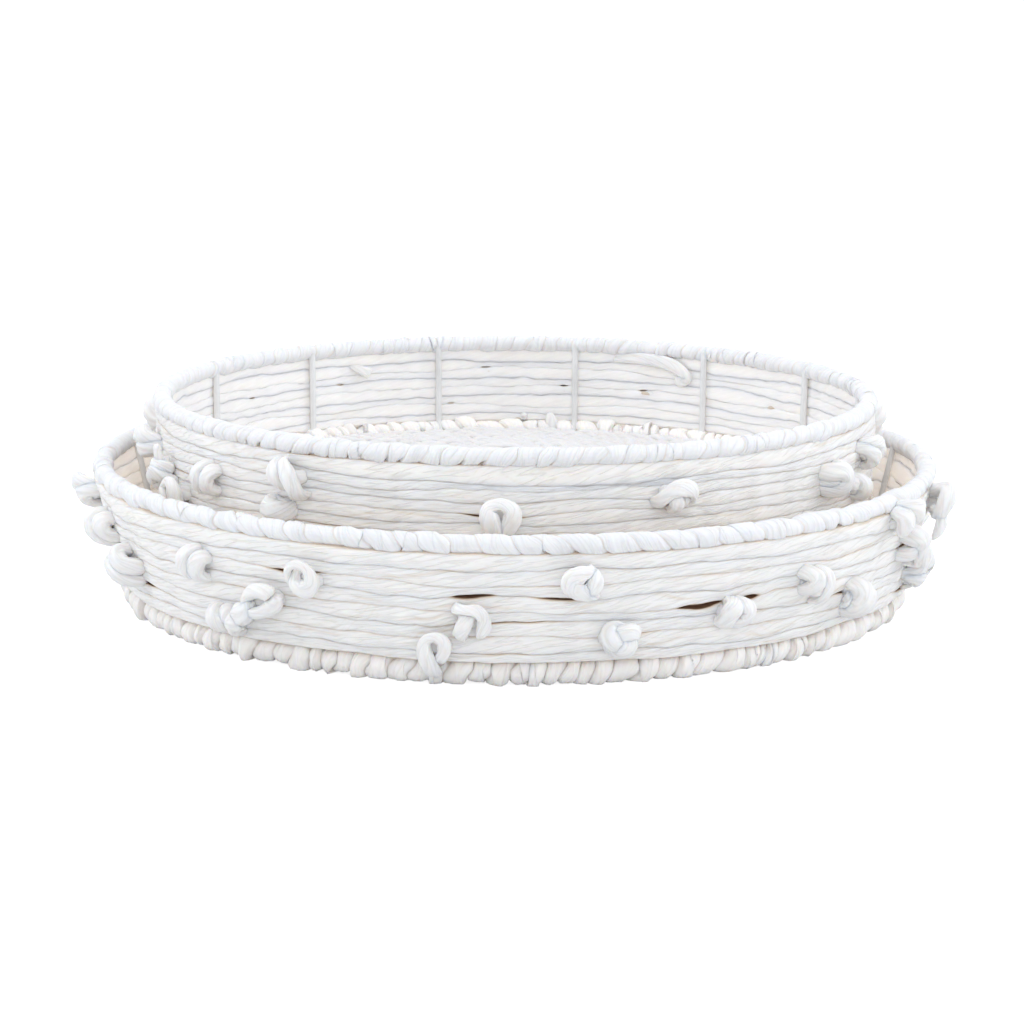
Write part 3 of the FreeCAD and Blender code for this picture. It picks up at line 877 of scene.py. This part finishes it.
def paper(name, light, fibre, crease, roughness, depth, glow=0.0):
    """Twisted paper: lengthwise fibres and fine wrinkles, with shade painted warm in its folds.

    fibre is how fine the fibres are, crease how strong the wrinkles and the shade painted along
    them, and depth how far light goes into it, in metres. glow is how much its inner side glows,
    for the light that comes through.
    """
    material = bpy.data.materials.new(name)
    material.use_nodes = True
    tree = material.node_tree
    laid = add_node(tree, "UVMap", uv_map="laid").outputs["UV"]
    shade_and_glow = add_node(tree, "Attribute", attribute_name="shade_and_glow").outputs["Fac"]

    def noise(stretch, scale, detail, rough):
        placed = add_node(tree, "Mapping", {"Scale": stretch, "Vector": laid}).outputs["Vector"]
        sockets = {"Scale": scale, "Detail": detail, "Roughness": rough, "Vector": placed}
        return add_node(tree, "TexNoise", sockets).outputs["Fac"]

    # A crease lies where a smooth noise is near its middle value. The inner side has faint ones.
    fibres = noise((0.07, 1.0, 1.0), fibre, 4.0, 0.65)
    patches = noise((0.3, 1.0, 1.0), 160.0, 2.0, 0.5)
    smooth = noise((0.09, 1.0, 1.0), fibre * 0.5, 1.0, 0.4)
    from_half = maths(tree, "ABSOLUTE", maths(tree, "SUBTRACT", smooth, 0.5))
    creases = ranged(tree, from_half, 0.0, 0.05, 1.0, 0.0)
    creases = maths(tree, "MULTIPLY", creases, ranged(tree, shade_and_glow, -1.0, 0.0))

    # Painted shade: warm brown in folds and grooves, and deep brown deep in the openings between
    # rows.
    colour = blended(tree, ranged(tree, shade_and_glow, SHADE_STARTS, FOLD_SHADE), (*light, 1), (*WARM_SHADE, 1))
    colour = blended(tree, ranged(tree, shade_and_glow, FOLD_SHADE, INMOST), colour, (*DEEP_SHADE, 1))
    patched = maths(tree, "MULTIPLY", patches, 0.3)
    tone = maths(tree, "MULTIPLY_ADD", fibres, 0.7, patched)
    tone = ranged(tree, tone, 0.3, 0.7, 0.92, 1.04)
    # Painted shade: the colour is darker along the creases.
    tone = maths(tree, "MULTIPLY_ADD", creases, -0.08 * crease, tone)
    toned = add_node(tree, "VectorMath", {0: colour, "Scale": tone}, operation="SCALE")

    bump = {"Strength": 0.5 * crease, "Distance": 0.0004, "Height": creases}
    first = add_node(tree, "Bump", bump, invert=True).outputs["Normal"]
    bump = {"Strength": 0.5 * crease, "Distance": 0.0003, "Height": fibres, "Normal": first}
    second = add_node(tree, "Bump", bump).outputs["Normal"]

    shader = tree.nodes["Principled BSDF"]
    set_sockets(tree, shader, {
        "Base Color": toned.outputs["Vector"],
        "Roughness": ranged(tree, fibres, 0.0, 1.0, roughness - 0.12, roughness + 0.12),
        "Specular IOR Level": 0.12,
        "Subsurface Weight": 0.5,
        "Subsurface Scale": depth,
        "Subsurface Radius": (1.0, 0.75, 0.5),
        "Normal": second,
    })
    if glow:
        set_sockets(tree, shader, {
            "Emission Color": (*LIT_THROUGH, 1),
            "Emission Strength": ranged(tree, shade_and_glow, INNER, -0.2, glow, 0.0),
        })
        material.cycles.emission_sampling = "NONE"
    return material


def painted_wire():
    """White powder-coated steel, a little dulled, with fine orange peel."""
    material = bpy.data.materials.new("painted_wire")
    material.use_nodes = True
    tree = material.node_tree
    place = add_node(tree, "TexCoord").outputs["Object"]
    grain = add_node(tree, "TexNoise", {"Scale": 900.0, "Detail": 2.0, "Vector": place})
    wear = add_node(tree, "TexNoise", {"Scale": 60.0, "Detail": 3.0, "Vector": place})
    ramp = add_node(tree, "ValToRGB", {"Fac": wear.outputs["Fac"]})
    dull, clean = ramp.color_ramp.elements
    dull.position, dull.color = 0.32, (0.70, 0.70, 0.69, 1)
    clean.position, clean.color = 0.62, (0.79, 0.79, 0.785, 1)
    peel = {"Strength": 0.25, "Distance": 0.0002, "Height": grain.outputs["Fac"]}
    set_sockets(tree, tree.nodes["Principled BSDF"], {
        "Base Color": ramp.outputs["Color"],
        "Roughness": 0.42,
        "Specular IOR Level": 0.4,
        "Normal": add_node(tree, "Bump", peel).outputs["Normal"],
    })
    return material


# ---------------------------------------------------------------- the two trays

wall_paper = dict(light=WHITE, fibre=900.0, crease=1.15, roughness=0.66, depth=0.005)
finishes = {
    "large_wall": paper("large_wall_paper_cord", **wall_paper, glow=0.26),
    "small_wall": paper("small_wall_paper_cord", **wall_paper, glow=0.06),
    "rim": paper("rim_paper_ribbon", RIBBON, fibre=800.0, crease=0.7, roughness=0.6, depth=0.002),
    "foot": paper("foot_paper_cord", WHITE, fibre=800.0, crease=0.55, roughness=0.68, depth=0.003),
    "floor": paper("floor_paper_cord", SHADED, fibre=900.0, crease=0.35, roughness=0.7,
                   depth=0.002),
    "knot": paper("knot_paper_cord", COOL, fibre=850.0, crease=0.85, roughness=0.6, depth=0.002),
}
wire = painted_wire()
for tray in ("large", "small"):
    wall = Wall(tray)
    wall_rows(wall, finishes[f"{tray}_wall"])
    rim(wall, finishes["rim"])
    foot(wall, finishes["foot"])
    floor(wall, finishes["floor"])
    knots(wall, finishes["knot"])
    for piece in ("rim_wire", "base_wire", "hub_wire", "wall_stakes", "floor_spokes"):
        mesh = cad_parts[f"{tray}_{piece}"].data
        mesh.materials.clear()
        mesh.materials.append(wire)
        mesh.shade_smooth()


# ---------------------------------------------------------------- table, light and camera
# From here on, lengths are in metres.

COOL_LIGHT = (0.945, 0.975, 1.02)
LIT_POINT = Vector((0, 0, 0.05))
# Soft lights that face the trays: (name, place, width and height, power).
LIGHTS = [
    ("top_light", (-0.1, -0.25, 1.8), (1.2, 1.2), 9.0),
    ("front_light", (0.1, -2.1, 1.05), (1.8, 0.8), 10.4),
    ("back_light", (-0.1, 2.1, 1.3), (1.8, 0.8), 6.0),
    ("left_light", (-1.7, 0.1, 0.7), (0.9, 1.2), 8.0),
    ("right_light", (1.7, 0.1, 0.7), (0.9, 1.2), 9.5),
]
# The camera as fitted to the photograph: its place, what it looks at, and its roll in degrees.
CAMERA_PLACE, CAMERA_TARGET = Vector((0.0, -1.31261, 0.30907)), Vector((0.0, 0.0, 0.03676))
CAMERA_ROLL = 0.38


def seen_apart(tree, output, lighting, seen):
    """Puts out one shader that lights the trays, and another that the camera sees."""
    ray = add_node(tree, "LightPath").outputs["Is Camera Ray"]
    mix = add_node(tree, "MixShader", {"Fac": ray, 1: lighting, 2: seen})
    set_sockets(tree, tree.nodes[output], {"Surface": mix.outputs["Shader"]})


def stage_floor():
    """A seamless white table: faintly shaded under the trays and bright elsewhere."""
    mesh = bpy.data.meshes.new("studio_floor")
    far = 14.0
    corners = [(-far, -far, 0), (far, -far, 0), (far, far, 0), (-far, far, 0)]
    mesh.from_pydata(corners, [], [(0, 1, 2, 3)])
    material = bpy.data.materials.new("studio_floor")
    material.use_nodes = True
    tree = material.node_tree
    plain = tree.nodes["Principled BSDF"]
    set_sockets(tree, plain, {"Base Color": (0.8, 0.8, 0.8, 1), "Roughness": 0.95})
    bright = add_node(tree, "BsdfPrincipled", {
        "Base Color": (0.34, 0.34, 0.34, 1),
        "Roughness": 0.95,
        "Emission Color": (1, 1, 1, 1),
        "Emission Strength": 0.86,
    })
    seen_apart(tree, "Material Output", plain.outputs["BSDF"], bright.outputs["BSDF"])
    mesh.materials.append(material)
    obj = bpy.data.objects.new("studio_floor", mesh)
    bpy.context.scene.collection.objects.link(obj)


def soft_light(name, place, size, power):
    lamp = bpy.data.lights.new(name, "AREA")
    lamp.shape = "RECTANGLE"
    lamp.size, lamp.size_y = size
    lamp.energy = power
    lamp.color = COOL_LIGHT
    obj = bpy.data.objects.new(name, lamp)
    obj.location = place
    obj.rotation_euler = (LIT_POINT - Vector(place)).to_track_quat("-Z", "Y").to_euler()
    bpy.context.scene.collection.objects.link(obj)


def studio():
    stage_floor()
    scene = bpy.context.scene
    world = bpy.data.worlds.new("studio_world")
    world.use_nodes = True
    tree = world.node_tree
    sky = tree.nodes["Background"]
    set_sockets(tree, sky, {"Color": (*COOL_LIGHT, 1), "Strength": 0.74})
    backdrop = add_node(tree, "Background", {"Strength": 1.3})
    seen_apart(tree, "World Output", sky.outputs["Background"], backdrop.outputs["Background"])
    scene.world = world
    for light in LIGHTS:
        soft_light(*light)
    scene.view_settings.view_transform = "Standard"
    scene.view_settings.exposure = 0.0

    lens = bpy.data.cameras.new("camera")
    lens.sensor_width = 36.0
    lens.lens = 96.3
    lens.shift_x = -0.0025
    lens.clip_end = 60.0
    camera = bpy.data.objects.new("camera", lens)
    aim = (CAMERA_TARGET - CAMERA_PLACE).to_track_quat("-Z", "Y").to_matrix().to_4x4()
    roll = Matrix.Rotation(math.radians(CAMERA_ROLL), 4, "Z")
    camera.matrix_world = Matrix.Translation(CAMERA_PLACE) @ aim @ roll
    scene.collection.objects.link(camera)
    scene.camera = camera


studio()
